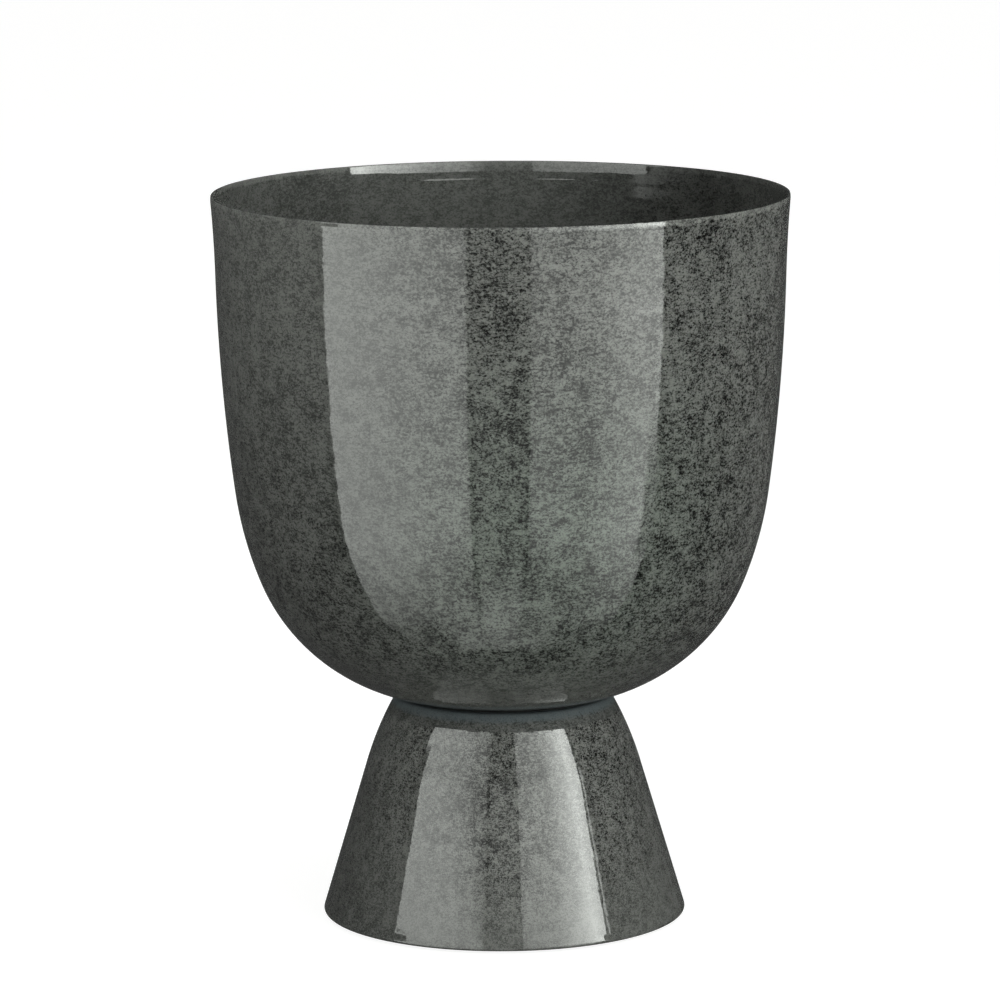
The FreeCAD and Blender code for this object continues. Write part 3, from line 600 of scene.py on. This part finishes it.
# each panel: the azimuths it fills as seen from the pot, and its washes of light, each a strength, then
# its shares by azimuth and by height in metres; a wash below nought is a flag that shades the cloth. The
# bowl mirrors what is below nought, lowest in its belly, the foot what is above 0.75
leftPanel = {
    "inner": -11.0, "outer": -78.0, "washes": (
        (2.45, ((-11, 0.09), (-13.3, 0.09), (-13.7, 0.50), (-20, 0.65), (-37, 0.81), (-53, 0.92),
                (-73.5, 1.0), (-73.6, 0.0)),
         ((-9.0, 0.03), (-6.5, 0.053), (-3.4, 0.098), (-2.0, 0.42), (-1.45, 0.59), (-1.1, 0.74), (0.0, 0.89),
          (0.15, 0.70), (0.5, 0.70), (0.78, 0.98), (0.84, 0.94), (0.92, 0.85), (1.0, 0.78), (1.2, 0.78),
          (1.5, 0.87))),
        (2.2, ((-73.5, 0.0), (-73.6, 1.0), (-78, 1.0)), ((1.3, 0.0), (1.5, 1.0), (2.5, 1.0))),
        (0.6, ((-11, 1.0), (-30, 0.85), (-46, 0.0)),
         ((-9.0, 0.3), (-7.0, 1.0), (-3.5, 0.8), (-2.6, 0.4), (-2.0, 0.0))),
        (0.3, ((-13.3, 0.0), (-13.7, 1.0), (-20, 0.8), (-32, 0.0)),
         ((-1.6, 0.0), (-0.8, 1.0), (-0.5, 0.7), (-0.25, 0.0))),
        (-0.4, ((-13.3, 0.0), (-13.7, 0.9), (-16, 1.0), (-24, 0.8), (-34, 0.0)),
         ((0.85, 0.0), (1.0, 1.0), (2.5, 1.0))),
        (-9.0, ((-64.4, 0.0), (-64.6, 1.0), (-78, 1.0)), lipHeights),
    ),
}
rightPanel = {
    "inner": 10.0, "outer": 71.0, "washes": (
        (2.5, ((10, 0.09), (11.3, 0.09), (11.7, 0.34), (16, 0.42), (36, 0.49), (49, 0.77), (60, 0.94),
               (67.5, 0.98), (67.6, 0.0)),
         ((-9.0, 0.03), (-6.5, 0.045), (-3.4, 0.09), (-2.0, 0.36), (-1.45, 0.54), (-1.1, 0.75), (0.0, 0.88),
          (0.2, 1.0), (0.5, 0.96), (0.75, 0.86), (1.0, 0.86), (1.1, 0.74), (1.25, 0.74), (1.5, 0.86))),
        (0.5, ((10, 1.0), (30, 0.85), (46, 0.0)),
         ((-9.0, 0.3), (-7.0, 1.0), (-3.5, 0.7), (-2.6, 0.4), (-2.0, 0.0))),
        (0.3, ((11.3, 0.0), (11.7, 1.0), (20, 0.8), (32, 0.0)),
         ((-1.6, 0.0), (-0.8, 1.0), (-0.5, 0.7), (-0.25, 0.0))),
        (4.4, ((11.5, 0.0), (11.7, 0.12), (25, 0.165), (35, 0.25), (45, 0.42), (55, 0.72), (60, 1.0),
               (67.5, 0.6), (67.6, 0.0)),
         ((-0.2, 0.0), (0.2, 0.66), (0.75, 1.0), (2.5, 1.0))),
        (2.2, ((69.1, 0.0), (69.2, 1.0), (70.6, 1.0), (70.7, 0.0)),
         ((0.2, 0.0), (0.6, 1.0), (1.0, 1.0), (1.15, 0.0))),
        (-1.5, ((61.5, 0.0), (63.2, 1.0), (67.5, 1.0), (67.6, 0.0)),
         ((-1.5, 0.0), (-1.1, 1.0), (-0.7, 1.0), (-0.45, 0.0))),
        (-9.0, ((66.4, 0.0), (66.6, 1.0), (71, 1.0)), ((-0.62, 0.0), (-0.5, 1.0), (0.0, 1.0), (0.06, 0.0))),
        (0.75, ((10, 1.0), (11.3, 1.0), (11.5, 0.0)), lipHeights),
        (2.8, ((28, 0.0), (36, 0.2), (44, 0.14), (52, 0.0), (58, 0.1), (63, 0.45), (65.3, 0.45), (65.5, 0.0)),
         lipHeights),
        (-9.0, ((65.3, 0.0), (65.5, 1.0), (71, 1.0)), lipHeights),
    ),
}
frontCard = {
    "inner": -11.0, "outer": 10.0, "washes": (
        (0.8, ((-11, 1.0), (10, 1.0)),
         ((-9.0, 0.4), (-7.5, 0.7), (-4.1, 0.93), (-2.8, 1.0), (-2.2, 0.80), (-1.5, 0.48), (-0.9, 0.36),
          (-0.67, 0.38), (-0.34, 0.22), (-0.2, 0.11), (0.0, 0.14), (0.8, 0.34), (0.97, 0.62), (1.05, 0.48),
          (1.17, 0.14), (1.7, 0.10))),
        (0.6, ((6, 0.0), (8, 0.6), (10, 1.0)), lipHeights),
    ),
}


def stageObject(bm, name, material):
    mesh = bpy.data.meshes.new(name)
    bm.to_mesh(mesh)
    bm.free()
    mesh.materials.append(material)
    thing = bpy.data.objects.new(name, mesh)
    scene.collection.objects.link(thing)
    return thing


def makePanel(name, facts):
    middle = math.radians((facts["inner"] + facts["outer"]) / 2)
    halfWidth = studio["panelDistance"] * math.tan(abs(middle - math.radians(facts["inner"])))
    halfHeight = (studio["panelHigh"] - studio["panelLow"]) / 2
    outward = 1 if facts["outer"] > 0 else -1

    def across(stops):  # azimuths in degrees to shares of the panel's width
        reach = studio["panelDistance"] * outward / halfWidth
        return [(0.5 + 0.5 * reach * math.tan(math.radians(spot) - middle), level) for spot, level in stops]

    def upward(stops):  # heights in metres to shares of the panel's height
        return [((spot - studio["panelLow"]) / (2 * halfHeight), level) for spot, level in stops]

    material, tree = newMaterial(name + "Glow")
    material.cycles.emission_sampling = "NONE"
    split = addNode(tree, "SeparateXYZ", inputs={"Vector": addNode(tree, "TexCoord")["Object"]})
    side = addNode(tree, "MapRange", inputs={"Value": split["X"], "From Min": -halfWidth,
                                             "From Max": halfWidth})["Result"]
    rise = addNode(tree, "MapRange", inputs={"Value": split["Y"], "From Min": -halfHeight,
                                             "From Max": halfHeight})["Result"]
    strength = 0.0
    for power, sideways, upright in facts["washes"]:
        wide = addNode(tree, "ValToRGB", inputs={"Fac": side}, stops=across(sideways))["Color"]
        tall = addNode(tree, "ValToRGB", inputs={"Fac": rise}, stops=upward(upright))["Color"]
        wash = addNode(tree, "Math", {"operation": "MULTIPLY"}, {0: wide, 1: tall})["Value"]
        strength = addNode(tree, "Math", {"operation": "MULTIPLY_ADD"},
                           {0: wash, 1: power, 2: strength})["Value"]
    strength = addNode(tree, "Math", {"operation": "MAXIMUM"}, {0: strength, 1: 0.0})["Value"]
    glow = addNode(tree, "Emission", inputs={"Color": linear(studio["glowColour"]), "Strength": strength})
    addNode(tree, "OutputMaterial", inputs={"Surface": glow["Emission"]})
    bm = bmesh.new()
    bmesh.ops.create_grid(bm, x_segments=1, y_segments=1, size=1.0)
    bmesh.ops.scale(bm, vec=(halfWidth, halfHeight, 1), verts=bm.verts)
    panel = stageObject(bm, name, material)
    along = Vector((math.cos(middle), math.sin(middle), 0)) * outward  # local X runs from inner to outer edge
    place = Vector((math.sin(middle), -math.cos(middle), 0)) * studio["panelDistance"]
    place.z = (studio["panelHigh"] + studio["panelLow"]) / 2
    up = Vector((0, 0, 1))
    turned = Matrix((along, up, along.cross(up))).transposed().to_4x4()
    panel.matrix_world = Matrix.Translation(place) @ turned
    panel.visible_camera = False


def makeFloor():
    material, tree = newMaterial("matPaperSweep")
    path = addNode(tree, "LightPath")
    larger = {"operation": "MAXIMUM"}
    mirrored = addNode(tree, "Math", larger, {0: path["Is Glossy Ray"],
                                              1: path["Is Transmission Ray"]})["Value"]
    seen = addNode(tree, "Math", larger, {0: path["Is Camera Ray"], 1: mirrored})["Value"]
    glow = addNode(tree, "Math", {"operation": "MULTIPLY"}, {0: seen, 1: studio["floorGlow"]})["Value"]
    shader = addNode(tree, "BsdfPrincipled", inputs={
        "Base Color": linear(studio["floorColour"]), "Roughness": studio["floorRoughness"],
        "Specular IOR Level": 0.0, "Emission Color": (1, 1, 1, 1), "Emission Strength": glow})
    addNode(tree, "OutputMaterial", inputs={"Surface": shader["BSDF"]})
    bm = bmesh.new()
    bmesh.ops.create_circle(bm, cap_ends=True, segments=studio["floorSegments"], radius=studio["floorRadius"])
    floor = stageObject(bm, "paleFloor", material)
    floor.visible_glossy = False  # the glaze mirrors the panels instead, as in the photograph


makePanel("leftPanel", leftPanel)
makePanel("rightPanel", rightPanel)
makePanel("frontCard", frontCard)
makeFloor()

sky = bpy.data.lights.new("softSky", "SUN")
sky.energy = studio["skyStrength"]
sky.angle = math.radians(studio["skyAngle"])
scene.collection.objects.link(bpy.data.objects.new("softSky", sky))

room = bpy.data.worlds.new("dimRoom")
room.use_nodes = True
room.node_tree.nodes["Background"].inputs["Color"].default_value = linear(studio["roomColour"])
room.node_tree.nodes["Background"].inputs["Strength"].default_value = studio["roomStrength"]
scene.world = room
scene.view_settings.view_transform = "Standard"
print("studio lit")

# Camera: a long lens a little above the rim, as the photograph was taken
view = {"place": (-0.00105, -2.7115, 0.678), "pitch": 9.8155, "roll": -0.33, "lens": 199.9, "sensor": 36.0}
eye = bpy.data.cameras.new("camera")
eye.lens = view["lens"]
eye.sensor_width = view["sensor"]
camera = bpy.data.objects.new("camera", eye)
tilt = Matrix.Rotation(math.radians(90 - view["pitch"]), 4, "X")
camera.matrix_world = (Matrix.Translation(view["place"]) @ tilt
                       @ Matrix.Rotation(math.radians(view["roll"]), 4, "Z"))
scene.collection.objects.link(camera)
scene.camera = camera
print("camera set")
